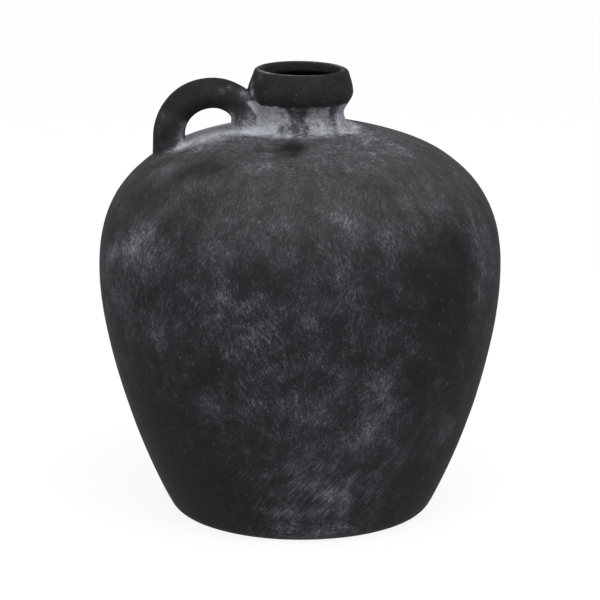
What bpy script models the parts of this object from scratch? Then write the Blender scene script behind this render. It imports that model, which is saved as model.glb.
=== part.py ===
"""Barro negro jug with one handle, hand-built from pieces of black-fired clay.

Lengths are metres and +Z is up. The origin is the centre of the standing face, and the handle is
towards -X. Every piece of clay that the potter joins to the jug is its own object, and a thin slip
joint parts it from its neighbours.
"""

import math
from collections import namedtuple

import bmesh
import bpy
from mathutils import Vector
from mathutils.geometry import interpolate_bezier

# Clay wall, and the slip joint between one piece and the next.
WALL = 0.008
SLIP_JOINT = 0.0003

# Foot: a flat standing ring round a shallow dish, and a rounded corner up to the wall.
STANDING_RADIUS = 0.0915
STANDING_RING = 0.022
FOOT_DISH = 0.002
FOOT_CORNER = 0.016
FOOT_SLOPE = 61.7

# Body: belly at its widest, and the crown where the shoulder turns in. Slopes are in degrees from
# level, and a rise is measured from the level named before it.
BELLY_RADIUS = 0.160
BELLY_HEIGHT = 0.200
CROWN_RADIUS = 0.1172
CROWN_RISE = 0.0864
CROWN_SLOPE = 34.5

# Neck: it springs from the shoulder at its root and is narrowest at its waist.
ROOT_RADIUS = 0.0386
ROOT_RISE = 0.0264
ROOT_SLOPE = 10.9
WAIST_RADIUS = 0.0344
WAIST_RISE = 0.0101

# Collar: a heavy rolled rim, widest near its foot, leaning in to a rounded lip.
COLLAR_RADIUS = 0.0419
COLLAR_RISE = 0.0164
COLLAR_LEAN = 17.0
LIP_RADIUS = 0.0382
LIP_RISE = 0.0159
LIP_CROWN_RADIUS = 0.0318
LIP_CROWN_RISE = 0.0035
MOUTH_RADIUS = 0.030
MOUTH_EDGE = 0.0018
MOUTH_DEPTH = 0.0075
HOLLOW_RISE = 0.002

# Joints between the courses of clay.
BOWL_JOINT_HEIGHT = 0.100
BELLY_JOINT_RISE = 0.036
NECK_JOINT_WIDTH = 0.009
COLLAR_JOINT_RISE = 0.0066

# Handle: a thick round-edged roll that springs up from the shoulder, arches over a two-finger gap
# and comes down on the shoulder against the side of the neck.
HANDLE_FOOT_X = -0.1033
HANDLE_CROWN_X = -0.070
HANDLE_NECK_X = -0.0399
HANDLE_RISE = 0.0262
HANDLE_FOOT_STRAIGHT = 0.0096
HANDLE_FOOT_THICKNESS = 0.027
HANDLE_CROWN_THICKNESS = 0.025
HANDLE_NECK_THICKNESS = 0.026
HANDLE_WIDTH = 0.029

# Lutings: the rolls of soft clay pressed round each end of the handle, sunk a little where they
# meet the shoulder so that their edge is thin.
LUTING_SINK = 0.0009
FOOT_LUTING_SPREAD = 0.0045
FOOT_LUTING_RISE = 0.006
NECK_LUTING_SPREAD = 0.0045
NECK_LUTING_RISE = 0.008

# Facets round the body, round the handle, along each half of the handle, across the dish and up
# each luting.
BODY_SIDES = 56
HANDLE_SIDES = 24
HANDLE_FLATS = 10
DISH_FLATS = 4
LUTING_FLATS = 4

# Points closer than this are one point.
SAME_POINT = 0.000003

X_AXIS = Vector((1.0, 0.0, 0.0))
Z_AXIS = Vector((0.0, 0.0, 1.0))


class Knot(namedtuple("Knot", "radius height heading before after facets")):
    """A point that an outline passes, with its heading in degrees from outward level.

    before and after say how strongly the curve follows the heading on each side of the knot, as a
    share of the chord there, and facets is the number of flats up to the next knot.
    """

    @property
    def point(self):
        return Vector((self.radius, 0.0, self.height))

    @property
    def direction(self):
        turn = math.radians(self.heading)
        return Vector((math.cos(turn), 0.0, math.sin(turn)))


def arc_pull(degrees):
    """Share of its chord by which a curve's ends are pulled to follow a round arc of that angle."""
    turn = math.radians(degrees)
    return 4 / 3 * math.tan(turn / 4) / (2 * math.sin(turn / 2))


def curve_through(knots):
    """Points of the smooth outline through the knots."""
    points = [knots[0].point]
    for here, there in zip(knots, knots[1:]):
        chord = (there.point - here.point).length
        leaving = here.point + here.direction * here.after * chord
        arriving = there.point - there.direction * there.before * chord
        flats = interpolate_bezier(here.point, leaving, arriving, there.point, here.facets + 1)
        points.extend(flats[1:])
    return points


# Levels of the outline, each one counted up from the level below it.
CROWN_HEIGHT = BELLY_HEIGHT + CROWN_RISE
ROOT_HEIGHT = CROWN_HEIGHT + ROOT_RISE
WAIST_HEIGHT = ROOT_HEIGHT + WAIST_RISE
COLLAR_HEIGHT = WAIST_HEIGHT + COLLAR_RISE
LIP_HEIGHT = COLLAR_HEIGHT + LIP_RISE
TOP_HEIGHT = LIP_HEIGHT + LIP_CROWN_RISE

foot_turn = math.radians(FOOT_SLOPE)
foot_pull = arc_pull(FOOT_SLOPE)
foot_wall_radius = STANDING_RADIUS + FOOT_CORNER * math.sin(foot_turn)
foot_wall_height = FOOT_CORNER * (1 - math.cos(foot_turn))
collar_heading = 90 + COLLAR_LEAN

OUTER_KNOTS = [
    Knot(STANDING_RADIUS, 0.0, 0.0, 0.0, foot_pull, 4),
    Knot(foot_wall_radius, foot_wall_height, FOOT_SLOPE, foot_pull, 0.256, 9),
    Knot(BELLY_RADIUS, BELLY_HEIGHT, 90, 0.304, 0.423, 6),
    Knot(CROWN_RADIUS, CROWN_HEIGHT, 180 - CROWN_SLOPE, 0.369, 0.279, 5),
    Knot(ROOT_RADIUS, ROOT_HEIGHT, 180 - ROOT_SLOPE, 0.353, 0.110, 4),
    Knot(WAIST_RADIUS, WAIST_HEIGHT, 90, 0.310, 0.305, 5),
    Knot(COLLAR_RADIUS, COLLAR_HEIGHT, 90, 0.305, 0.306, 3),
    Knot(LIP_RADIUS, LIP_HEIGHT, collar_heading, 0.306, 0.300, 4),
    Knot(LIP_CROWN_RADIUS, TOP_HEIGHT, 180, 0.494, 0.0, 0),
]
outer_wall = curve_through(OUTER_KNOTS)

# Distance of each outline point along the wall from the edge of the standing ring.
runs = [0.0]
for lower, upper in zip(outer_wall, outer_wall[1:]):
    runs.append(runs[-1] + (upper - lower).length)


def wall_point(run):
    """Point of the outer wall at a distance along it."""
    for index in range(1, len(runs)):
        if run <= runs[index] or index == len(runs) - 1:
            share = (run - runs[index - 1]) / (runs[index] - runs[index - 1])
            return outer_wall[index - 1].lerp(outer_wall[index], share)


def wall_normal(run):
    """Outward normal of the wall, averaged over a short stretch so that it turns smoothly."""
    reach = WALL / 4
    along = wall_point(min(run + reach, runs[-1])) - wall_point(max(run - reach, 0.0))
    return Vector((along.z, 0.0, -along.x)).normalized()


def run_where(reached):
    """Distance along the wall at which its point first passes a test, by halving the step."""
    run = 0.0
    step = runs[-1] / 2
    while step > SAME_POINT:
        if reached(wall_point(run + step)):
            step /= 2
        else:
            run += step
    return run


def run_at_height(height):
    return run_where(lambda point: point.z >= height)


def shoulder_run(radius):
    """Distance along the wall at which the shoulder has drawn in to a radius."""
    return run_where(
        lambda point: point.z >= ROOT_HEIGHT or (point.z > BELLY_HEIGHT and point.x <= radius)
    )


def shoulder_height(radius):
    return wall_point(shoulder_run(radius)).z


def stretch(start, end):
    """Distances of the outline's own points between two joints, with the joints themselves."""
    inside = [run for run in runs if start + SLIP_JOINT < run < end - SLIP_JOINT]
    return [start, *inside, end]


def skins(start, end):
    """Outer points from one joint to the next, and the inner points that lie a wall inside them."""
    stations = stretch(start, end)
    outer = [wall_point(run) for run in stations]
    inner = [wall_point(run) - wall_normal(run) * WALL for run in stations]
    return outer, inner


def clay(name, colour):
    """Matt smoke-blackened clay."""
    material = bpy.data.materials.new(name + "_clay")
    material.use_nodes = True
    shader = material.node_tree.nodes["Principled BSDF"]
    shader.inputs["Base Color"].default_value = (*colour, 1.0)
    shader.inputs["Roughness"].default_value = 0.85
    shader.inputs["Metallic"].default_value = 0.0
    return material


def finish_piece(name, mesh, colour):
    """Object of a mesh with smooth round faces, crisp joint edges and its own clay."""
    mesh.shade_smooth()
    mesh.set_sharp_from_angle(angle=math.radians(40))
    piece = bpy.data.objects.new(name, mesh)
    bpy.context.scene.collection.objects.link(piece)
    mesh.materials.append(clay(name, colour))
    return piece


def turned(name, section, closed, colour):
    """Turn a section round the axis. An open section starts and ends on the axis."""
    form = bmesh.new()
    corners = [form.verts.new(point) for point in section]
    pairs = list(zip(corners, corners[1:]))
    if closed:
        pairs.append((corners[-1], corners[0]))
    edges = [form.edges.new(pair) for pair in pairs]
    bmesh.ops.spin(
        form, geom=corners + edges, cent=(0, 0, 0), axis=Z_AXIS, angle=math.tau, steps=BODY_SIDES
    )
    bmesh.ops.remove_doubles(form, verts=form.verts, dist=SAME_POINT)
    bmesh.ops.recalc_face_normals(form, faces=form.faces)
    mesh = bpy.data.meshes.new(name)
    form.to_mesh(mesh)
    form.free()
    return finish_piece(name, mesh, colour)


def lofted(name, rings, colour):
    """Solid through a stack of rings with equally many points, closed flat at both ends."""
    form = bmesh.new()
    loops = [[form.verts.new(point) for point in ring] for ring in rings]
    for below, above in zip(loops, loops[1:]):
        for index in range(len(below)):
            after = (index + 1) % len(below)
            form.faces.new((below[index], below[after], above[after], above[index]))
    form.faces.new(loops[0][::-1])
    form.faces.new(loops[-1])
    bmesh.ops.recalc_face_normals(form, faces=form.faces)
    mesh = bpy.data.meshes.new(name)
    form.to_mesh(mesh)
    form.free()
    return finish_piece(name, mesh, colour)


def oval(centre, across, half_thickness, half_width, stagger):
    """Ring of the handle's section, with its thickness along a direction and its width along Y.

    stagger turns the ring's corners by a share of a facet, so that no corner lies on another's.
    """
    ring = []
    for side in range(HANDLE_SIDES):
        turn = math.tau * (side + stagger) / HANDLE_SIDES
        thickness = across * math.cos(turn) * half_thickness
        width = Vector((0.0, math.sin(turn) * half_width, 0.0))
        ring.append(centre + thickness + width)
    return ring


def hide_cutter(cutter):
    cutter.hide_render = True
    cutter.display_type = "WIRE"


def cut(piece, cutter):
    """Cut a piece back from the space that another one fills."""
    trim = piece.modifiers.new("clear_of_" + cutter.name, "BOOLEAN")
    trim.operation = "DIFFERENCE"
    trim.solver = "EXACT"
    trim.object = cutter


# Body colours: the collar and the handle stay darkest, and pale wash lies in the joints.
DARK_CLAY = (0.022, 0.021, 0.022)
BRUSHED_CLAY = (0.040, 0.040, 0.043)
WASHED_CLAY = (0.130, 0.135, 0.145)


def lower_bowl(end):
    """Base and foot of the jug, pinched up from one ball of clay."""
    outer, inner = skins(0.0, end)
    dish_radius = STANDING_RADIUS - STANDING_RING
    underside = []
    for flat in range(DISH_FLATS + 1):
        share = flat / DISH_FLATS
        underside.append(Vector((dish_radius * share, 0.0, FOOT_DISH * (1 - share**2))))
    floor = Vector((0.0, 0.0, WALL))
    section = [*underside, *outer, *reversed(inner), floor]
    return turned("lower_bowl", section, False, BRUSHED_CLAY)


def course(name, start, end, colour):
    """Ring of wall between two joints."""
    outer, inner = skins(start, end)
    return turned(name, [*outer, *reversed(inner)], True, colour)


def rim_collar(start):
    """Heavy rolled collar, hollowed inside under a thick lip."""
    outer = skins(start, runs[-1])[0]
    normal = wall_normal(start)
    foot = wall_point(start) - normal * WALL
    foot_heading = math.degrees(math.atan2(normal.x, -normal.z))
    quarter = arc_pull(90)
    inner_knots = [
        Knot(foot.x, foot.z, foot_heading, 0.0, 0.35, 3),
        Knot(COLLAR_RADIUS - WALL, COLLAR_HEIGHT + HOLLOW_RISE, 90, 0.35, 0.40, 4),
        Knot(MOUTH_RADIUS, TOP_HEIGHT - MOUTH_DEPTH, 100, 0.30, 0.10, 1),
        Knot(MOUTH_RADIUS, TOP_HEIGHT - MOUTH_EDGE, 90, 0.10, quarter, 3),
        Knot(LIP_CROWN_RADIUS, TOP_HEIGHT, 0, quarter, 0.0, 0),
    ]
    inner = curve_through(inner_knots)[:-1]
    return turned("rim_collar", [*outer, *reversed(inner)], True, DARK_CLAY)


def handle_path():
    """Centres and thicknesses of the handle's roll, from inside one wall to inside the other."""
    foot_seat = shoulder_height(-HANDLE_FOOT_X)
    neck_seat = shoulder_height(-HANDLE_NECK_X)
    crown_height = ROOT_HEIGHT + HANDLE_RISE
    spring_height = foot_seat + HANDLE_FOOT_STRAIGHT
    knots = [
        Knot(HANDLE_FOOT_X, spring_height, 90, 0.0, 0.325, HANDLE_FLATS),
        Knot(HANDLE_CROWN_X, crown_height, 0, 0.450, 0.530, HANDLE_FLATS),
        Knot(HANDLE_NECK_X, neck_seat, 270, 0.300, 0.0, 0),
    ]
    foot_end = Vector((HANDLE_FOOT_X, 0.0, foot_seat - WALL))
    neck_end = Vector((HANDLE_NECK_X, 0.0, neck_seat - WALL))
    centres = [foot_end, *curve_through(knots), neck_end]
    crown_index = 1 + HANDLE_FLATS
    thicknesses = []
    for index in range(len(centres)):
        if index <= crown_index:
            share = index / crown_index
            ends = (HANDLE_FOOT_THICKNESS, HANDLE_CROWN_THICKNESS)
        else:
            share = (index - crown_index) / (len(centres) - 1 - crown_index)
            ends = (HANDLE_CROWN_THICKNESS, HANDLE_NECK_THICKNESS)
        thicknesses.append(ends[0] + (ends[1] - ends[0]) * share)
    return centres, thicknesses


def handle_roll(name, growth, colour):
    """The handle's roll of clay, grown all round by a clearance when it serves as a cutter."""
    centres, thicknesses = handle_path()
    rings = []
    for index, (centre, thickness) in enumerate(zip(centres, thicknesses)):
        before = centres[max(index - 1, 0)]
        after = centres[min(index + 1, len(centres) - 1)]
        along = (after - before).normalized()
        across = Vector((-along.z, 0.0, along.x))
        half_thickness = thickness / 2 + growth
        half_width = HANDLE_WIDTH / 2 + growth
        rings.append(oval(centre, across, half_thickness, half_width, 0.5))
    return lofted(name, rings, colour)


def luting(name, centre_x, thickness, slope, spread, rise):
    """Skirt of soft clay round an end of the handle, hollow-faced from the shoulder up the roll.

    Its levels lie parallel to the shoulder under the handle, whose slope is given in degrees.
    """
    tilt = math.tan(math.radians(slope))
    seat = shoulder_height(-centre_x) - LUTING_SINK
    levels = [(spread, -WALL)]
    for flat in range(LUTING_FLATS + 1):
        turn = math.radians(90) * flat / LUTING_FLATS
        levels.append((spread * (1 - math.sin(turn)), rise * (1 - math.cos(turn))))
    rings = []
    for growth, level in levels:
        half_thickness = thickness / 2 + growth
        half_width = HANDLE_WIDTH / 2 + growth
        ring = oval(Vector((centre_x, 0.0, 0.0)), -X_AXIS, half_thickness, half_width, 0.25)
        for point in ring:
            point.z = seat + level + (point.x - centre_x) * tilt
        rings.append(ring)
    return lofted(name, rings, WASHED_CLAY)


def shoulder_slope(radius):
    normal = wall_normal(shoulder_run(radius))
    return math.degrees(math.atan2(normal.x, normal.z))


for leftover in list(bpy.data.objects):
    bpy.data.objects.remove(leftover)

half_joint = SLIP_JOINT / 2
bowl_joint = run_at_height(BOWL_JOINT_HEIGHT)
belly_joint = run_at_height(BELLY_HEIGHT + BELLY_JOINT_RISE)
neck_joint = shoulder_run(ROOT_RADIUS + NECK_JOINT_WIDTH)
collar_joint = run_at_height(WAIST_HEIGHT + COLLAR_JOINT_RISE)

lower_bowl(bowl_joint - half_joint)
course("belly_course", bowl_joint + half_joint, belly_joint - half_joint, BRUSHED_CLAY)
course("shoulder_course", belly_joint + half_joint, neck_joint - half_joint, BRUSHED_CLAY)
course("neck_coil", neck_joint + half_joint, collar_joint - half_joint, WASHED_CLAY)
rim_collar(collar_joint + half_joint)

# The jug's whole outside, grown by the slip joint: what is luted on is cut back from it.
outside = [wall_point(run) + wall_normal(run) * SLIP_JOINT for run in runs]
jug_space = turned(
    "jug_space",
    [Vector((0.0, 0.0, -SLIP_JOINT)), *outside, Vector((0.0, 0.0, TOP_HEIGHT + SLIP_JOINT))],
    False,
    DARK_CLAY,
)
hide_cutter(jug_space)
handle_space = handle_roll("handle_space", SLIP_JOINT, DARK_CLAY)
hide_cutter(handle_space)

handle = handle_roll("handle", 0.0, DARK_CLAY)
cut(handle, jug_space)

foot_luting = luting(
    "handle_foot_luting",
    HANDLE_FOOT_X,
    HANDLE_FOOT_THICKNESS,
    shoulder_slope(-HANDLE_FOOT_X),
    FOOT_LUTING_SPREAD,
    FOOT_LUTING_RISE,
)
neck_luting = luting(
    "handle_neck_luting",
    HANDLE_NECK_X,
    HANDLE_NECK_THICKNESS,
    shoulder_slope(-HANDLE_NECK_X),
    NECK_LUTING_SPREAD,
    NECK_LUTING_RISE,
)
for skirt in (foot_luting, neck_luting):
    cut(skirt, handle_space)
    cut(skirt, jug_space)
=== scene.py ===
import math
import random

import bpy
import numpy as np
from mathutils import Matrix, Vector, noise
from mathutils.geometry import interpolate_bezier
from mathutils.kdtree import KDTree


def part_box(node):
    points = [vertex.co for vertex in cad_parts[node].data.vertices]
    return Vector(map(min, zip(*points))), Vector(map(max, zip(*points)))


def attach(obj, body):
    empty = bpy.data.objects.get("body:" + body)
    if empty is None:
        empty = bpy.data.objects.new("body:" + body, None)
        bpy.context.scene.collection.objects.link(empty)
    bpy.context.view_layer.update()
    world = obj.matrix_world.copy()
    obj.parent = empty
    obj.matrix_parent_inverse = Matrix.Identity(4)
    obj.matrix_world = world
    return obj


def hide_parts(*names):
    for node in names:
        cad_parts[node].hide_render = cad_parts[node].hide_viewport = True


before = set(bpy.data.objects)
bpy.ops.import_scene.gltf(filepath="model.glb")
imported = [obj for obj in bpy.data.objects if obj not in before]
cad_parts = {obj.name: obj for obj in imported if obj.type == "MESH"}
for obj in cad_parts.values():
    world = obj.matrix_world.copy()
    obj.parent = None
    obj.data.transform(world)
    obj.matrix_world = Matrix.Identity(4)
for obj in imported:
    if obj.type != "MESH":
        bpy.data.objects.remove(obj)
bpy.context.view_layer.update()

# ---------------------------------------------------------------------------------------------
# Lower bowl
# Base and foot of the jug, pinched up from one ball of black clay and smoothed by hand. It stands
# on a flat ring round a shallow dish. The whole jug's wall is one sweep from foot to lip, 8 mm
# thick, and each ring of clay takes its own stretch of it, so that the rings meet without a step.
# ---------------------------------------------------------------------------------------------
wall = 0.008
skin_inset = 0.0003
standing_radius = 0.0915
standing_ring = 0.022
dish_depth = 0.002
foot_corner = 0.016
foot_slope = 61.7
belly_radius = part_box("belly_course")[1].x - skin_inset
belly_height = 0.200
collar_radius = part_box("rim_collar")[1].x - skin_inset
collar_height = 0.3393
lip_crown_radius = 0.0333
lip_crown_sink = 0.0009
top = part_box("rim_collar")[1].z
lip_crown_height = top - lip_crown_sink

# The other turning points of the sweep, as (radius, height).
crown = (0.1172, 0.2864)
neck_root = (0.0386, 0.3128)
waist = (0.0344, 0.3229)
lip_edge = (0.0382, 0.3552)

# The distance between rows of points up the outside, the number of points round the jug, and how
# near each other two points count as one.
body_row = 0.0025
body_columns = 320
same_point = 0.000002


def smooth_outline(knots, spacing):
    """Points through knots of (radius, height, heading, pull before, pull after), all in metres.

    A heading is in degrees from outward level, and a pull is a share of the chord beside it.
    """
    points = []
    for here, there in zip(knots, knots[1:]):
        start = Vector((here[0], 0, here[1]))
        end = Vector((there[0], 0, there[1]))
        chord = (end - start).length
        leave = math.radians(here[2])
        arrive = math.radians(there[2])
        first = start + Vector((math.cos(leave), 0, math.sin(leave))) * here[4] * chord
        last = end - Vector((math.cos(arrive), 0, math.sin(arrive))) * there[3] * chord
        count = max(3, round(chord / spacing))
        points += interpolate_bezier(start, first, last, end, count + 1)[:-1]
    points.append(Vector((knots[-1][0], 0, knots[-1][1])))
    return points


foot_turn = math.radians(foot_slope)
foot_pull = 4 / 3 * math.tan(foot_turn / 4) / (2 * math.sin(foot_turn / 2))
foot_top = (
    standing_radius + foot_corner * math.sin(foot_turn),
    foot_corner * (1 - math.cos(foot_turn)),
)
body_knots = [
    (standing_radius, 0.0, 0, 0, foot_pull),
    (*foot_top, foot_slope, foot_pull, 0.256),
    (belly_radius, belly_height, 90, 0.304, 0.423),
    (*crown, 145.5, 0.369, 0.279),
    (*neck_root, 169.1, 0.353, 0.110),
]
neck_knots = [
    (*neck_root, 169.1, 0.353, 0.110),
    (*waist, 90, 0.310, 0.305),
    (collar_radius, collar_height, 90, 0.305, 0.306),
    (*lip_edge, 107, 0.306, 0.300),
    (lip_crown_radius, lip_crown_height, 180, 0.420, 0),
]
body_fineness = 0.0006
neck_fineness = 0.0004
outline = smooth_outline(body_knots, body_fineness)[:-1]
outline += smooth_outline(neck_knots, neck_fineness)
outline = np.array([(point.x, point.z) for point in outline])
steps = np.hypot(*np.diff(outline, axis=0).T)
length_along = np.concatenate([[0], np.cumsum(steps)])
tangent = np.gradient(outline, length_along, axis=0)
tangent /= np.linalg.norm(tangent, axis=1)[:, None]
inward = np.column_stack([-tangent[:, 1], tangent[:, 0]])


def wall_at(along, depth=0.0):
    """(radius, height) of the wall at a length along it, at a depth under its outside."""
    point = [np.interp(along, length_along, outline[:, axis]) for axis in (0, 1)]
    turn = [np.interp(along, length_along, inward[:, axis]) for axis in (0, 1)]
    return (point[0] + turn[0] * depth, point[1] + turn[1] * depth)


def along_at_height(height):
    return float(np.interp(height, outline[:, 1], length_along))


def rows_between(start, end, spacing):
    """Even rows with a narrow row beside each joint, so that the shading runs across the joint."""
    beside = 0.0004
    count = round((end - start) / spacing)
    even = np.linspace(start + beside, end - beside, count + 1)
    return [start, *even, end]


def thrown(name, section, columns=body_columns):
    """Closed section of (radius, height) points, turned about the jug's axis."""
    bpy.ops.object.select_all(action="DESELECT")
    bpy.ops.mesh.primitive_circle_add(vertices=len(section), radius=wall, location=(0, 0, 0))
    piece = bpy.context.object
    piece.name = piece.data.name = name
    for vertex, (radius, height) in zip(piece.data.vertices, section):
        vertex.co = (radius, 0, height)
    bpy.ops.object.mode_set(mode="EDIT")
    bpy.ops.mesh.select_all(action="SELECT")
    bpy.ops.mesh.spin(steps=columns, angle=math.tau, center=(0, 0, 0), axis=(0, 0, 1))
    bpy.ops.mesh.select_all(action="SELECT")
    bpy.ops.mesh.remove_doubles(threshold=same_point)
    bpy.ops.mesh.dissolve_degenerate(threshold=same_point)
    bpy.ops.mesh.normals_make_consistent(inside=False)
    bpy.ops.object.mode_set(mode="OBJECT")
    return piece


def points_of(piece):
    places = np.empty(len(piece.data.vertices) * 3)
    piece.data.vertices.foreach_get("co", places)
    return places.reshape(-1, 3)


def move_points(piece, places):
    piece.data.vertices.foreach_set("co", np.asarray(places).ravel())
    piece.data.update()


def soft_step(value, low, high):
    share = np.clip((value - low) / (high - low), 0, 1)
    return share * share * (3 - 2 * share)


# Blender starts its noise from the clock, so a start is set here for the jug to come out the same
# each time.
noise.seed_set(2)


def noise_at(places, scale, shift=0, kind=noise.noise_vector):
    """Smooth noise at each place. A greater scale makes it change over a shorter distance."""
    return np.array([kind(place) for place in (places * scale + shift).tolist()])


# How far hand work moved the clay from a true turned shape, in metres, and where it swells.
broad_unevenness = 0.0004
narrow_unevenness = 0.00012
foot_shift = 0.0009
neck_shift = 0.0004
lip_shift = 0.0014
mouth_shift = 0.0010
lip_dip = 0.0010
swell_rise = 0.0013
swell_middle = (-0.078, 0.010, 0.302)
swell_reach = (0.035, 0.040, 0.014)


def hand_pressed(places):
    """Places moved by the slow, shallow unevenness of hand work, alike on both sides of a joint.

    The foot sits a little towards the handle's far side. The lip is drawn over that way too, and
    dips there. The wall swells under the handle, where the roll was pressed down.
    """
    x, y, z = places.T
    radius = np.hypot(x, y)
    push = noise_at(places, 17) * broad_unevenness + noise_at(places, 55, 3) * narrow_unevenness
    push[:, 2] *= np.clip(z / 0.02, 0, 1) * np.clip((top - z) / 0.01, 0, 1)
    push[:, 0] += foot_shift * (1 - soft_step(z, 0.02, belly_height))
    round_neck = 1 - soft_step(radius, 0.042, 0.050)
    side = np.clip(x / 0.038, -1, 1) / 2
    push[:, 0] += neck_shift * soft_step(z, 0.31, 0.33) * round_neck
    push[:, 0] += lip_shift * soft_step(z, 0.340, 0.356) * (0.5 - side) * round_neck
    inside_lip = 1 - soft_step(radius, 0.0315, 0.0350)
    push[:, 0] += mouth_shift * soft_step(z, 0.340, 0.350) * inside_lip * (0.5 + side)
    push[:, 2] -= lip_dip * soft_step(z, 0.335, 0.352) * side * round_neck
    from_swell = (((places - swell_middle) / swell_reach) ** 2).sum(axis=1)
    push[:, 2] += swell_rise * np.exp(-from_swell)
    return places + push


wall_tree = KDTree(len(outline))
for index, (radius, height) in enumerate(outline):
    wall_tree.insert((radius, height, 0), index)
wall_tree.balance()


def beside_the_wall(places):
    """Length along the wall nearest to each place, and the place's distance outside the wall."""
    flat = np.column_stack([np.hypot(places[:, 0], places[:, 1]), places[:, 2]])
    near = np.array([wall_tree.find((r, z, 0))[1] for r, z in flat])
    gap = flat - outline[near]
    return length_along[near], -(gap * inward[near]).sum(axis=1)


# Dabs of the pale wash on the wall, as the brush left them, and a few broad dabs of painted shade:
# angle round the jug in degrees from the front (towards +X), length along the wall, half length,
# half height in mm, slant, strength.
dabs = [
    (-60, 253, 24, 14, 35, 0.85),
    (-52, 245, 12, 12, 0, 0.20),
    (-73, 238, 10, 7, 20, 0.55),
    (-46, 284, 22, 10, 30, -0.30),
    (-66, 318, 18, 10, 20, 0.60),
    (-46, 272, 10, 8, 0, -0.25),
    (-36, 250, 12, 18, 0, -0.30),
    (-62, 205, 18, 14, 0, 0.25),
    (-47, 192, 14, 10, 20, 0.55),
    (-48, 285, 12, 26, -20, 0.30),
    (-26, 286, 26, 14, 0, 0.15),
    (-8, 292, 14, 14, 0, 0.25),
    (9, 289, 14, 16, 0, 0.30),
    (17, 278, 22, 14, 0, 0.10),
    (26, 277, 8, 8, 0, 0.25),
    (46, 265, 12, 14, 0, -0.25),
    (28, 312, 20, 9, 10, -0.20),
    (44, 298, 12, 9, 10, 0.20),
    (43, 285, 14, 16, 0, 0.25),
    (52, 300, 20, 12, 0, 0.20),
    (58, 232, 9, 28, 5, 0.45),
    (66, 248, 12, 26, 10, 0.35),
    (49, 222, 6, 26, 5, -0.25),
    (35, 301, 8, 7, 0, 0.35),
    (11, 284, 8, 16, 5, 0.30),
    (-15, 195, 14, 12, 0, 0.20),
    (-12, 215, 18, 14, 0, 0.15),
    (5, 203, 9, 10, 0, -0.10),
    (0, 223, 12, 8, 0, 0.30),
    (-34, 236, 40, 20, 0, 0.20),
    (-22, 184, 9, 20, 0, 0.22),
    (11, 236, 20, 18, 0, 0.15),
    (-24, 215, 11, 10, 0, 0.35),
    (-30, 133, 12, 8, 0, 0.40),
    (-7, 143, 26, 8, -12, 0.30),
    (1, 173, 13, 9, 0, 0.30),
    (2, 158, 10, 11, 0, -0.20),
    (2, 140, 16, 10, 0, 0.15),
    (22, 138, 14, 28, 0, 0.40),
    (17, 112, 14, 16, 0, 0.30),
    (32, 153, 14, 18, 0, -0.30),
    (-12, 169, 12, 9, 0, 0.50),
    (23, 152, 8, 10, 0, 0.20),
    (-32, 114, 14, 14, 0, -0.25),
    (-3, 84, 22, 14, 15, 0.35),
    (-16, 92, 14, 10, 0, -0.20),
    (9, 66, 22, 16, 20, 0.40),
    (-2, 38, 30, 6, 0, 0.40),
    (-14, 40, 9, 7, 0, 0.35),
    (9, 52, 12, 12, 0, 0.25),
    (8, 20, 34, 6, 0, 0.60),
    (11, 58, 12, 10, 0, 0.30),
    (15, 76, 16, 12, 0, -0.25),
    (30, 60, 16, 20, 20, 0.20),
    (48, 88, 14, 16, 0, 0.40),
    (57, 95, 9, 10, 0, 0.45),
    (-45, 90, 12, 12, 0, 0.15),
    (0, 335, 60, 16, 0, 0.20),
    (-20, 312, 14, 12, 0, 0.25),
    (35, 345, 40, 14, 0, 0.25),
    (15, 338, 14, 10, 0, -0.25),
    (60, 351, 16, 14, 0, 0.45),
    (58, 384, 34, 9, 0, 0.50),
    (-22, 345, 16, 9, 0, 0.40),
    (-100, 368, 61, 24, 0, 2.40),
    (-91, 370, 26, 14, 0, 1.20),
    (45, 190, 26, 60, 0, -0.40),
    # These four broad bare dabs low on both flanks darken the sides towards the foot: painted
    # shade.
    (-60, 90, 50, 70, 0, -0.45),
    (-42, 46, 46, 40, 0, -0.60),
    (48, 42, 44, 34, 0, -0.55),
    (72, 60, 50, 70, 0, -0.35),
    (-28, 168, 20, 16, 0, -0.25),
    (-12, 238, 26, 12, 0, -0.20),
    (-46, 330, 26, 7, 15, -0.65),
    (-62, 300, 24, 10, 25, -0.30),
    (35, 225, 22, 24, 0, -0.20),
    (-31, 366, 13, 7, 0, -0.50),
    (-9, 375, 22, 8, 0, -1.60),
    (62, 120, 24, 40, 0, -0.20),
]

# The back is brushed the same way, in dabs drawn at random.
back_hand = random.Random(11)
back_dabs = 30
for _ in range(back_dabs):
    dabs.append((
        back_hand.uniform(95, 265),
        back_hand.uniform(20, 330),
        back_hand.uniform(12, 28),
        back_hand.uniform(8, 24),
        back_hand.uniform(-25, 25),
        back_hand.choice((-0.4, 0.2, 0.3, 0.4, 0.6)),
    ))

root_along = along_at_height(neck_root[1])

# Dabs and bare drips on the neck, and painted shadow under the collar: angle, length up from its
# root, half length, half height in mm, strength.
neck_dabs = [
    (1, 13, 5, 8, -0.80),
    (-16, 5, 7, 4, -0.55),
    # The next two darken the neck just under the collar: painted shadow of the collar.
    (-14, 21, 9, 5, -0.80),
    (22, 21, 12, 4, -0.50),
    (40, 15, 4, 8, -0.80),
    (22, 7, 7, 8, 0.50),
    (-52, 9, 9, 10, 0.60),
    (66, 6, 9, 6, 0.30),
    (10, -2, 24, 6, -0.45),
    (-44, -6, 16, 4, 0.50),
]

# Below the neck the wash is laid out as on a drum of this radius, and then wrapped onto the wall.
drum_radius = 0.160
mm_per_metre = 1000

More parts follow.
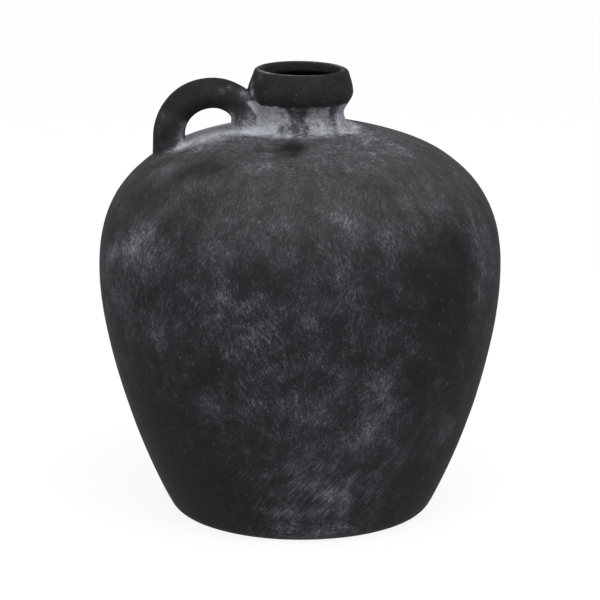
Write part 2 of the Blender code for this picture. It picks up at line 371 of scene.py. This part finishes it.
# Strengths of the wash, where 2 is the thickest, and the widths of its lines in metres. The
# line at the crease is partly painted highlight, the line round the lip is painted highlight, and
# the deep mouth value is painted shadow.
neck_strength = 1.5
rubbed_bare = 0.85
thickest_wash = 2
crease_line = 0.0012
crease_smear = 0.006
lip_highlight_width = 0.0013
lip_highlight_strength = 1.9
mouth_soot = 0.45
deep_mouth_shadow = 1.6


def turn_from(angle, degrees):
    """Turn round the jug from an angle given in degrees, in radians and the short way round."""
    return (angle - math.radians(degrees) + math.pi) % math.tau - math.pi


def brush_wash(piece, crease=None, spots=()):
    """Store where the brush went on a piece: its place on the wall, and the wash it left there.

    The collar and the roll of the handle were rubbed nearly bare, but for the spots given as
    place, size in mm and strength. The wash gathers in a crease, given as a tree of points, and a
    thin bright line along the crease is partly painted highlight on its fillet. It strays from
    each dab by a few mm, and is drawn into streaks round the neck.
    """
    places = points_of(piece)
    x, _, z = places.T
    along, outside = beside_the_wall(places)
    radius = np.hypot(places[:, 0], places[:, 1])
    angle = np.arctan2(places[:, 0], -places[:, 1])
    spread = radius + (drum_radius - radius) * soft_step(radius, 0.050, 0.095)
    brush = np.column_stack([np.sin(angle) * spread, -np.cos(angle) * spread, along + outside])
    stray = noise_at(places, 50) * 7 + noise_at(places, 140) * 4
    streaks = noise_at(places, (220, 220, 50), kind=noise.noise)
    streaks += 0.6 * noise_at(places, (520, 520, 160), kind=noise.noise)

    # The shoulder, which grows paler towards the neck, and the dabs.
    wash = 0.15 * soft_step(along, 0.310, 0.345) + 0.3 * soft_step(along, 0.340, 0.372)
    for degrees, length, half_length, half_height, slant, strength in dabs:
        across = turn_from(angle, degrees) * drum_radius * mm_per_metre + stray[:, 0]
        up = along * mm_per_metre - length + stray[:, 2]
        lean = math.radians(slant)
        level = (across * math.cos(lean) + up * math.sin(lean)) / half_length
        rise = (up * math.cos(lean) - across * math.sin(lean)) / half_height
        wash += strength * np.exp(-0.5 * (level**2 + rise**2) ** 1.3)

    # The neck, up to the ragged lower edge of the bare collar. On the +X side the edge is drawn
    # lower, as painted shadow under the collar.
    ragged = stray[:, 1] * 0.0004
    collar = soft_step(z + ragged + 0.04 * np.maximum(x, 0), 0.3315, 0.3350)
    neck = soft_step(along + 2 * ragged, root_along - 0.016, root_along)
    neck += 0.5 * streaks * neck
    for degrees, length, half_length, half_height, strength in neck_dabs:
        across = turn_from(angle, degrees) * radius * mm_per_metre
        up = (along - root_along) * mm_per_metre - length
        level = (across + 0.3 * stray[:, 0]) / half_length
        rise = (up + 0.3 * stray[:, 2]) / half_height
        neck += strength * np.exp(-0.5 * (level**2 + rise**2))
    wash = (wash + neck_strength * neck) * (1 - collar)

    # The roll of the handle, and the crease round its ends, with wash gathered in it and a thin
    # line of painted highlight along it.
    roll = soft_step(outside, 0.0015, 0.0060)
    if crease is not None:
        reach = np.array([crease.find(place)[2] for place in places])
        by_neck = soft_step(x, -0.075, -0.060) * soft_step(-z, -0.334, -0.320)
        # A thin line along the crease, partly gathered wash and partly painted highlight on the
        # fillet.
        gathered_wash_and_highlight = 0.5 * np.exp(-((reach / crease_line) ** 2))
        smear = crease_smear * (1 + 0.5 * by_neck)
        gathered_wash_and_highlight += (0.5 + 0.6 * by_neck) * np.exp(-((reach / smear) ** 2))
        gathered_wash_and_highlight *= 0.2 + 0.8 * soft_step(x, -0.100, -0.090)
        wash = wash * (1 - roll) + gathered_wash_and_highlight
        roll *= 1 - by_neck * (0.60 - 0.5 * streaks)
    for place, size, strength in spots:
        distance = np.linalg.norm(places + stray * 0.0003 - place, axis=1) * mm_per_metre
        wash += strength * np.exp(-0.5 * (distance / size) ** 2)
    wash -= rubbed_bare * np.maximum(collar, roll)

    # A painted highlight round the crown of the lip, laid as a line of wash, and the soot inside,
    # made far darker deep in the mouth as painted shadow.
    lip = np.hypot(radius - lip_crown_radius, z - lip_crown_height)
    wash += (lip_highlight_strength + 0.1 * stray[:, 0]) * np.exp(-((lip / lip_highlight_width) ** 2))
    wash = thickest_wash * np.tanh(wash / thickest_wash)
    within = soft_step(-outside, 0.002, 0.005)
    # Deep in the mouth the wash is pushed far down: painted shadow.
    wash -= within * (wash + mouth_soot + deep_mouth_shadow * soft_step(top - z, 0.0068, 0.0090))

    mesh = piece.data
    mesh.attributes.new("brush", "FLOAT_VECTOR", "POINT")
    mesh.attributes["brush"].data.foreach_set("vector", brush.ravel())
    mesh.attributes.new("wash", "FLOAT", "POINT")
    mesh.attributes["wash"].data.foreach_set("value", wash)


def blackened_clay(slot):
    """Smoke-blackened clay under dry-brushed wash. It reads the brush's place from the piece."""
    material = bpy.data.materials.new(slot)
    material.use_nodes = True
    tree = material.node_tree
    shader = tree.nodes["Principled BSDF"]

    def fill(socket, value):
        if isinstance(value, bpy.types.NodeSocket):
            tree.links.new(value, socket)
        else:
            socket.default_value = value

    def node(kind, settings=None, **inputs):
        made = tree.nodes.new(kind)
        for name, value in (settings or {}).items():
            setattr(made, name, value)
        for name, value in inputs.items():
            fill(made.inputs[name.replace("_", " ")], value)
        return made

    def blend(amount, low, high, colours=False):
        made = node("ShaderNodeMix", {"data_type": "RGBA" if colours else "FLOAT"})
        first = 6 if colours else 2
        for place, value in zip((0, first, first + 1), (amount, low, high)):
            fill(made.inputs[place], value)
        return made.outputs[2 if colours else 0]

    def ramp(value, low, high, bottom=0.0, ceiling=1.0):
        made = node(
            "ShaderNodeMapRange",
            {"interpolation_type": "SMOOTHSTEP"},
            Value=value,
            From_Min=low,
            From_Max=high,
            To_Min=bottom,
            To_Max=ceiling,
        )
        return made.outputs["Result"]

    def sum_of(*terms):
        """Weighted sum of (socket, weight) pairs."""
        total = 0.0
        for socket, weight in terms:
            made = node("ShaderNodeMath", {"operation": "MULTIPLY_ADD"})
            for place, value in enumerate((socket, weight, total)):
                fill(made.inputs[place], value)
            total = made.outputs[0]
        return total

    def fleck(place, scale, detail, roughness=0.6):
        settings = {"Scale": scale, "Detail": detail, "Roughness": roughness}
        return node("ShaderNodeTexNoise", Vector=place, **settings).outputs["Fac"]

    brush = node("ShaderNodeAttribute", {"attribute_name": "brush"}).outputs["Vector"]
    wash = node("ShaderNodeAttribute", {"attribute_name": "wash"}).outputs["Fac"]
    level = node("ShaderNodeSeparateXYZ", Vector=brush).outputs["Z"]

    def bristles(twist, stretch, scale):
        """Marks of the bristles, leaning round the jug by a twist in radians per metre."""
        turn = node("ShaderNodeMath", {"operation": "MULTIPLY"})
        fill(turn.inputs[0], level)
        fill(turn.inputs[1], twist)
        leaning = node("ShaderNodeVectorRotate", {"rotation_type": "Z_AXIS"}, Vector=brush)
        fill(leaning.inputs["Angle"], turn.outputs[0])
        stretched = node("ShaderNodeVectorMath", {"operation": "MULTIPLY"})
        fill(stretched.inputs[0], leaning.outputs["Vector"])
        fill(stretched.inputs[1], stretch)
        return fleck(stretched.outputs["Vector"], scale, 2.0, 0.75)

    bristles_per_metre = 560
    fine_bristles_per_metre = 620
    upright = bristles(0.5, (1, 1, 0.45), bristles_per_metre)
    right_lean = bristles(-3.0, (1, 1, 0.42), bristles_per_metre)
    left_lean = bristles(2.2, (1, 1, 0.42), bristles_per_metre)
    round_about = bristles(0.0, (0.40, 0.40, 1), bristles_per_metre)
    hatched = bristles(-6.0, (1, 1, 0.16), fine_bristles_per_metre)
    grain = fleck(brush, 1100.0, 2.0)
    choice = fleck(brush, 14.0, 1.0)
    patches = fleck(brush, 55.0, 6.0, 0.75)
    clouds = fleck(brush, 14.0, 3.0)

    marks = blend(ramp(choice, 0.50, 0.58), upright, right_lean)
    marks = blend(ramp(choice, 0.50, 0.42), marks, left_lean)
    marks = blend(ramp(level, 0.315, 0.345), marks, round_about)
    marks = blend(ramp(level, 0.110, 0.080), marks, hatched)
    marks = blend(ramp(level, 0.040, 0.025), marks, round_about)

    smoked = (0.0135, 0.0119, 0.0139, 1)
    # Near black for deep in the mouth: painted shadow.
    mouth_shadow_black = (0.0040, 0.0036, 0.0042, 1)
    low_film = (0.0380, 0.0360, 0.0424, 1)
    # The paler film higher up is partly painted light from above.
    high_film_and_top_light = (0.0498, 0.0498, 0.0537, 1)
    pooled_wash = (0.242, 0.255, 0.280, 1)
    low_wash = (0.0930, 0.0930, 0.1095, 1)
    high_wash = (0.0935, 0.0940, 0.1040, 1)
    thick_wash = (0.461, 0.480, 0.517, 1)

    # A thin film of wash clouds the clay, dried smooth where it pooled, and never got far into the
    # sooty mouth. The film grows thicker and paler higher up the wall, partly real film and partly
    # painted light from above on the shoulder. Over it the wash catches on the high grains first,
    # and fills the marks between them only where it is thick.
    high_up = ramp(level, 0.21, 0.32)
    lively = sum_of((marks, 1.0), (grain, 1.0), (1.0, -1.0))
    dry = sum_of((high_up, 0.8), (ramp(level, 0.10, 0.05), 0.8), (1.0, 0.1))
    dry_wash = sum_of((dry, ramp(wash, -0.7, -0.1)))
    haze_and_top_light = sum_of((wash, 0.5), (patches, 0.8), (clouds, 0.3), (high_up, 0.3), (lively, dry_wash))
    film_and_top_light = blend(high_up, low_film, high_film_and_top_light, True)
    clay = blend(ramp(haze_and_top_light, 0.20, 1.25), smoked, film_and_top_light, True)
    pooled = ramp(sum_of((wash, 1.0), (patches, 0.9), (marks, 0.5)), 1.35, 2.7)
    clay = blend(pooled, clay, pooled_wash, True)
    # Deep in the mouth the clay turns near black: painted shadow.
    clay = blend(ramp(wash, -1.1, -1.8), clay, mouth_shadow_black, True)
    amount = sum_of((wash, 0.6), (patches, 1.6), (clouds, 0.3), (marks, 1.8), (grain, 1.4))
    specks = ramp(fleck(brush, 430.0, 0.0), 0.75, 0.83, 0.0, 0.4)
    cover = node("ShaderNodeMath", {"operation": "MAXIMUM"})
    fill(cover.inputs[0], ramp(amount, 2.50, 3.50))
    fill(cover.inputs[1], specks)
    cover = cover.outputs[0]
    thick = ramp(sum_of((wash, 1.0), (patches, 2.2), (grain, 2.0), (marks, 1.6)), 3.3, 5.5)
    thin = blend(high_up, low_wash, high_wash, True)
    pale = blend(thick, thin, thick_wash, True)
    fill(shader.inputs["Base Color"], blend(cover, clay, pale, True))
    fill(shader.inputs["Roughness"], ramp(cover, 0.0, 0.6, 0.70, 0.90))
    shader.inputs["Specular IOR Level"].default_value = 0.05

    relief = sum_of((marks, 0.6), (grain, 0.5), (patches, 0.5))
    bump = node("ShaderNodeBump", Strength=0.35, Distance=0.0006, Height=relief)
    fill(shader.inputs["Normal"], bump.outputs["Normal"])
    return material


brushed_clay = blackened_clay("brushed_clay")


def settle(piece, node_name, slot, material, **brushing):
    """Give a finished piece its clay, and let it stand for its node in the jug."""
    bpy.ops.object.select_all(action="DESELECT")
    bpy.context.view_layer.objects.active = piece
    piece.select_set(True)
    bpy.ops.object.shade_smooth_by_angle(angle=math.radians(40))
    brush_wash(piece, **brushing)
    piece.data.materials.clear()
    piece.data.materials.append(material)
    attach(piece, "root")
    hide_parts(node_name)


inner_rows = 16
bowl_joint = along_at_height(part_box("belly_course")[0].z)
dish_radius = standing_radius - standing_ring
underside = [(dish_radius * t, dish_depth * (1 - t * t)) for t in np.linspace(0, 1, 12)]
outer = [wall_at(along) for along in rows_between(0, bowl_joint, body_row)]
inner = [wall_at(along, wall) for along in np.linspace(bowl_joint, 0, inner_rows)]
lower_bowl = thrown("clay_lower_bowl", [*underside, *outer, *inner, (0, wall)])
move_points(lower_bowl, hand_pressed(points_of(lower_bowl)))
settle(lower_bowl, "lower_bowl", "brushed_clay", brushed_clay)

# ---------------------------------------------------------------------------------------------
# Belly course
# The widest ring of wall, beaten out and scraped flush with the bowl, and brushed all round.
# ---------------------------------------------------------------------------------------------
inner_rows = 20
belly_joint = along_at_height(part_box("belly_course")[1].z)
outer = [wall_at(along) for along in rows_between(bowl_joint, belly_joint, body_row)]
inner = [wall_at(along, wall) for along in np.linspace(belly_joint, bowl_joint, inner_rows)]
belly_course = thrown("clay_belly_course", [*outer, *inner])
move_points(belly_course, hand_pressed(points_of(belly_course)))
settle(belly_course, "belly_course", "brushed_clay", brushed_clay)

# ---------------------------------------------------------------------------------------------
# Handle
# A thick roll of clay, bent while soft into an arch over a two-finger gap, and pressed onto the
# shoulder and the side of the neck. Its ends sink into the wall, and little wash reaches it.
# ---------------------------------------------------------------------------------------------
handle_foot_x = -0.1031
handle_crown = (-0.0682, 0.3388)
handle_neck_x = -0.0425
roll_thickness = (0.0262, 0.0238, 0.0233)
roll_width = 0.029
spring_height = 0.3049
neck_seat = 0.3182
seat_depth = 0.004
ring_points = 72
ring_step = 0.001
roll_fineness = 0.0014
skin_lines = 360

# How much wider the roll gets where each end is pressed down, and the share by which it thickens
# towards the neck.
foot_spread = 0.008
neck_spread = 0.011
neck_bulge = 0.7

# The solid that cuts the roll's ends to the wall: how far it reaches down the wall from the root
# of the neck, how far it stops short of the lip, the height of its floor, its rows and columns.
core_reach = 0.120
core_top_gap = 0.008
core_floor = 0.15
core_row_count = 90
core_columns = 128

# Where a little wash stayed on the roll and beside it: place, size in mm, strength.
roll_spots = [
    ((-0.062, -0.012, 0.341), 2.0, 1.5),
    ((-0.055, -0.010, 0.343), 2.0, 1.4),
    ((-0.0430, -0.012, 0.3405), 3.4, 2.2),
    ((-0.0400, -0.016, 0.334), 2.2, 1.3),
    ((-0.0550, -0.010, 0.327), 3.0, 1.1),
    ((-0.0550, -0.008, 0.321), 3.5, 1.6),
    ((-0.0540, -0.010, 0.314), 3.5, 1.2),
    ((-0.0425, -0.018, 0.320), 4.5, 1.0),
    ((-0.0910, -0.011, 0.300), 4.0, 2.3),
    ((-0.0930, -0.010, 0.308), 5.0, 1.8),
    ((-0.0915, -0.010, 0.315), 3.5, 1.2),
    ((-0.108, -0.010, 0.322), 4.0, 0.9),
    ((-0.112, -0.009, 0.312), 3.0, 0.8),
    ((-0.0370, -0.010, 0.347), 2.2, 1.7),
    ((-0.0375, -0.015, 0.341), 2.5, 1.9),
    ((-0.0345, -0.020, 0.335), 2.8, 1.5),
    ((-0.0300, -0.018, 0.354), 2.5, 1.1),
    ((0.0370, -0.016, 0.335), 1.5, 1.1),
]

path = smooth_outline(
    [
        (handle_foot_x, spring_height - 0.022, 90, 0, 0.33),
        (handle_foot_x, spring_height, 90, 0.33, 0.338),
        (*handle_crown, 0, 0.465, 0.379),
        (handle_neck_x, neck_seat, -90, 0.346, 0.33),
        (handle_neck_x, neck_seat - 0.018, -90, 0.33, 0),
    ],
    roll_fineness,
)
path = np.array(path)
heading = np.gradient(path, axis=0)
heading /= np.linalg.norm(heading, axis=1)[:, None]
crown_index = int(path[:, 2].argmax())
thickness = np.interp(range(len(path)), (0, crown_index, len(path) - 1), roll_thickness)


def roll_surface(count, spread=0.0):
    """The roll's skin as rings of points, the first point of a ring on the outside of the arch.

    Its ends spread where they are pressed down, by the given share of the full spread: both grow
    wider, and the one at the neck grows towards the neck too.
    """
    turn = np.linspace(0, math.tau, count, endpoint=False)
    across = np.column_stack([-heading[:, 2], np.zeros(len(path)), heading[:, 0]])
    level = np.array([0, 1, 0])
    to_foot = soft_step(-path[:, 0], 0.088, -handle_foot_x)
    to_foot *= soft_step(-path[:, 2], -0.308, -0.290)
    to_neck = soft_step(path[:, 0], -0.050, handle_neck_x)
    to_neck *= soft_step(-path[:, 2], -0.334, -0.316)
    wide = roll_width + spread * (foot_spread * to_foot + neck_spread * to_neck)
    outer = 1 + spread * neck_bulge * to_neck[:, None] * (np.cos(turn) > 0)
    side = across[:, None] * (np.cos(turn) * outer * thickness[:, None] / 2)[..., None]
    width = level * (np.sin(turn) * wide[:, None] / 2)[..., None]
    return path[:, None] + side + width


bpy.ops.object.select_all(action="DESELECT")
bpy.ops.mesh.primitive_circle_add(vertices=ring_points, radius=roll_width / 2, fill_type="NGON")
handle = bpy.context.object
handle.name = handle.data.name = "clay_handle"
bpy.ops.object.mode_set(mode="EDIT")
bpy.ops.mesh.select_all(action="SELECT")
for step in range(len(path) - 1):
    bpy.ops.mesh.extrude_region_move(TRANSFORM_OT_translate={"value": (0, 0, ring_step)})
bpy.ops.object.mode_set(mode="OBJECT")
flat = points_of(handle)
ring_of = np.round(flat[:, 2] / ring_step).astype(int)
place_in_ring = np.round(np.arctan2(flat[:, 1], flat[:, 0]) / math.tau * ring_points).astype(int)
move_points(handle, roll_surface(ring_points)[ring_of, place_in_ring % ring_points])
bpy.ops.object.mode_set(mode="EDIT")
bpy.ops.mesh.select_all(action="SELECT")
bpy.ops.mesh.normals_make_consistent(inside=False)
bpy.ops.object.mode_set(mode="OBJECT")
move_points(handle, hand_pressed(points_of(handle)))

# Where the roll's skin passes through the wall, found along each of its long lines.
skin = roll_surface(skin_lines, 1.0)
height_over_wall = beside_the_wall(skin.reshape(-1, 3))[1].reshape(skin.shape[:2])
crosses = (height_over_wall[:-1] > 0) != (height_over_wall[1:] > 0)
share = height_over_wall[:-1] / (height_over_wall[:-1] - height_over_wall[1:] + 1e-12)
crossings = hand_pressed((skin[:-1] + (skin[1:] - skin[:-1]) * share[..., None])[crosses])
crease = KDTree(len(crossings))
for index, place in enumerate(crossings):
    crease.insert(place, index)
crease.balance()


def apply_modifier(piece, kind, **settings):
    bpy.ops.object.select_all(action="DESELECT")
    bpy.context.view_layer.objects.active = piece
    piece.select_set(True)
    modifier = piece.modifiers.new(kind.lower(), kind)
    for name, value in settings.items():
        setattr(modifier, name, value)
    bpy.ops.object.modifier_apply(modifier=modifier.name)


core_top = length_along[-1] - core_top_gap
core_rows = np.linspace(root_along - core_reach, core_top, core_row_count)
core_wall = [wall_at(along, seat_depth) for along in core_rows]
core = thrown("core", [(0, core_floor), *core_wall, (0, core_wall[-1][1])], core_columns)
rolled = handle.copy()
rolled.data = handle.data.copy()
bpy.context.collection.objects.link(rolled)
spread_skin = roll_surface(ring_points, 1.0)[ring_of, place_in_ring % ring_points]
move_points(rolled, hand_pressed(spread_skin))
apply_modifier(handle, "BOOLEAN", operation="DIFFERENCE", solver="EXACT", object=core)
dark_clay = blackened_clay("dark_clay")
settle(handle, "handle", "dark_clay", dark_clay, crease=crease, spots=roll_spots)

# ---------------------------------------------------------------------------------------------
# Shoulder course
# The ring that closes in over the belly to the root of the neck. It carries the handle.
# ---------------------------------------------------------------------------------------------
shoulder_row = 0.0020
shoulder_columns = 400
inner_rows = 20
neck_joint = along_at_height(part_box("shoulder_course")[1].z)
outer = [wall_at(along) for along in rows_between(belly_joint, neck_joint, shoulder_row)]
inner = [wall_at(along, wall) for along in np.linspace(neck_joint, belly_joint, inner_rows)]
shoulder_course = thrown("clay_shoulder_course", [*outer, *inner], shoulder_columns)
move_points(shoulder_course, hand_pressed(points_of(shoulder_course)))
settle(shoulder_course, "shoulder_course", "brushed_clay", brushed_clay, crease=crease)

# ---------------------------------------------------------------------------------------------
# Neck coil
# A coil of clay laid on the shoulder and drawn up into a waisted neck, where the wash lies thick.
# ---------------------------------------------------------------------------------------------
neck_row = 0.0008
inner_rows = 16
collar_joint = along_at_height(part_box("rim_collar")[0].z)
outer = [wall_at(along) for along in rows_between(neck_joint, collar_joint, neck_row)]
inner = [wall_at(along, wall) for along in np.linspace(collar_joint, neck_joint, inner_rows)]
neck_coil = thrown("clay_neck_coil", [*outer, *inner])
move_points(neck_coil, hand_pressed(points_of(neck_coil)))
washed_clay = blackened_clay("washed_clay")
settle(neck_coil, "neck_coil", "washed_clay", washed_clay, crease=crease)

# ---------------------------------------------------------------------------------------------
# Rim collar
# The rolled collar: a heavy band with a rounded lip, undercut inside where the roll was folded in.
# ---------------------------------------------------------------------------------------------
mouth_radius = 0.030
hollow_fineness = 0.0009
outer = [wall_at(along) for along in rows_between(collar_joint, length_along[-1], neck_row)]
lean = [np.interp(collar_joint, length_along, tangent[:, axis]) for axis in (0, 1)]
hollow = smooth_outline(
    [
        (*wall_at(collar_joint, wall), math.degrees(math.atan2(lean[1], lean[0])), 0, 0.35),
        (collar_radius - wall, collar_height + 0.002, 90, 0.35, 0.40),
        (mouth_radius, top - 0.0085, 95, 0.30, 0.10),
        (mouth_radius, lip_crown_height - 0.0035, 90, 0.10, 0.39),
        (lip_crown_radius, lip_crown_height, 0, 0.39, 0),
    ],
    hollow_fineness,
)
inner = [(point.x, point.z) for point in reversed(hollow[:-1])]
rim_collar = thrown("clay_rim_collar", [*outer, *inner])
move_points(rim_collar, hand_pressed(points_of(rim_collar)))
settle(rim_collar, "rim_collar", "dark_clay", dark_clay, crease=crease, spots=roll_spots)

# ---------------------------------------------------------------------------------------------
# Handle lutings
# Soft clay worked with a wet finger into the crease where each end of the handle meets the jug.
# It fills the crease with a hollow curve and feathers out to nothing on the roll and the wall.
# ---------------------------------------------------------------------------------------------
# The layer of clay that a luting is cut from: how far it reaches down the wall from the root of
# the neck, how far it stops short of the lip, its rows and columns, and its margin round a seam.
skin_reach = 0.110
skin_top_gap = 0.010
skin_row_count = 130
skin_columns = 300
seam_margin = 0.014

# A luting stands proud of its seam by the lift, and sinks out of sight over the feather.
smear_voxel = 0.0006
crease_lift = 0.0001
feather_start = 0.005
feather = 0.008
feather_sink = 0.0006
foot_softness = 20
neck_softness = 24

skin_top = length_along[-1] - skin_top_gap
skin_rows = np.linspace(root_along - skin_reach, skin_top, skin_row_count)
skin_out = [wall_at(along) for along in skin_rows]
skin_in = [wall_at(along, seat_depth) for along in reversed(skin_rows)]


def keep_inside(piece, low, high):
    """Cut a piece square on all sides of a block, and close its cuts."""
    bpy.ops.object.select_all(action="DESELECT")
    bpy.context.view_layer.objects.active = piece
    piece.select_set(True)
    bpy.ops.object.mode_set(mode="EDIT")
    for axis in range(3):
        for limit, side in ((low, -1), (high, 1)):
            way = [0, 0, 0]
            way[axis] = side
            bpy.ops.mesh.select_all(action="SELECT")
            bpy.ops.mesh.bisect(plane_co=limit, plane_no=way, use_fill=True, clear_outer=True)
    bpy.ops.object.mode_set(mode="OBJECT")


def luting(name, end, node_name, softness):
    """The smear of clay at one end of the roll: end picks its part of the crease."""
    seam = crossings[end(crossings)]
    low = seam.min(axis=0) - seam_margin
    high = seam.max(axis=0) + seam_margin
    smear = thrown(name, [*skin_out, *skin_in], skin_columns)
    keep_inside(smear, low, high)
    move_points(smear, hand_pressed(points_of(smear)))
    stub = rolled.copy()
    stub.data = rolled.data.copy()
    bpy.context.collection.objects.link(stub)
    keep_inside(stub, low, high)
    apply_modifier(stub, "BOOLEAN", operation="DIFFERENCE", solver="EXACT", object=core)
    bpy.ops.object.select_all(action="DESELECT")
    stub.select_set(True)
    smear.select_set(True)
    bpy.context.view_layer.objects.active = smear
    bpy.ops.object.join()
    apply_modifier(smear, "REMESH", mode="VOXEL", voxel_size=smear_voxel, adaptivity=0)
    apply_modifier(smear, "SMOOTH", factor=0.5, iterations=softness)
    places = points_of(smear)
    normals = np.empty(places.size)
    smear.data.vertices.foreach_get("normal", normals)
    reach = np.array([crease.find(place)[2] for place in places])
    feathered = soft_step(reach, feather_start, feather_start + feather)
    rise = crease_lift - feather_sink * feathered
    move_points(smear, places + normals.reshape(-1, 3) * rise[:, None])
    settle(smear, node_name, "washed_clay", washed_clay, crease=crease, spots=roll_spots)


def at_foot(places):
    return places[:, 0] < handle_crown[0]


def at_neck(places):
    return places[:, 0] > handle_crown[0]


luting("clay_handle_foot_luting", at_foot, "handle_foot_luting", foot_softness)
luting("clay_handle_neck_luting", at_neck, "handle_neck_luting", neck_softness)
for spent in (rolled, core):
    bpy.data.objects.remove(spent)

# ---------------------------------------------------------------------------------------------
# Floor, light and camera
# A pale seamless floor, lit through from below, in a white room under a large soft light.
# ---------------------------------------------------------------------------------------------
floor_size = 12
floor_grey = (0.12, 0.12, 0.12, 1)
floor_glow = 0.90
room_glow = 0.6
white = (1, 1, 1, 1)
bpy.ops.object.select_all(action="DESELECT")
bpy.ops.mesh.primitive_plane_add(size=floor_size, location=(0, 0, 0))
floor = bpy.context.object
floor.name = floor.data.name = "studio_floor"
floor_sheet = bpy.data.materials.new("studio_white")
floor_sheet.use_nodes = True
floor_shader = floor_sheet.node_tree.nodes["Principled BSDF"]
floor_shader.inputs["Base Color"].default_value = floor_grey
floor_shader.inputs["Roughness"].default_value = 1.0
floor_shader.inputs["Specular IOR Level"].default_value = 0.0
floor_shader.inputs["Emission Color"].default_value = white
floor_shader.inputs["Emission Strength"].default_value = floor_glow
floor.data.materials.append(floor_sheet)

room = bpy.data.worlds.new("white_room")
room.use_nodes = True
background = room.node_tree.nodes["Background"]
background.inputs["Color"].default_value = white
background.inputs["Strength"].default_value = room_glow
bpy.context.scene.world = room
lamp_aim = (0, 0, 0.2)


def soft_light(name, place, size, power):
    bpy.ops.object.light_add(type="AREA", location=place)
    lamp = bpy.context.object
    lamp.name = lamp.data.name = name
    lamp.data.shape = "SQUARE"
    lamp.data.size = size
    lamp.data.energy = power
    way = Vector(lamp_aim) - Vector(place)
    lamp.rotation_euler = way.to_track_quat("-Z", "Y").to_euler()


soft_light("soft_top", (0.2, -1.0, 2.2), 1.6, 40)

camera_turn = math.radians(-3)
camera_rise = math.radians(14.04)
camera_distance = 2.56
aim = Vector((0, 0, 0.1702))
back = Vector((
    math.sin(camera_turn) * math.cos(camera_rise),
    -math.cos(camera_turn) * math.cos(camera_rise),
    math.sin(camera_rise),
))
bpy.ops.object.camera_add(location=aim + back * camera_distance)
camera = bpy.context.object
camera.data.lens = 192.2
camera.data.sensor_width = 36
camera.rotation_euler = back.to_track_quat("Z", "Y").to_euler()
bpy.context.scene.camera = camera
bpy.context.scene.view_settings.view_transform = "Standard"
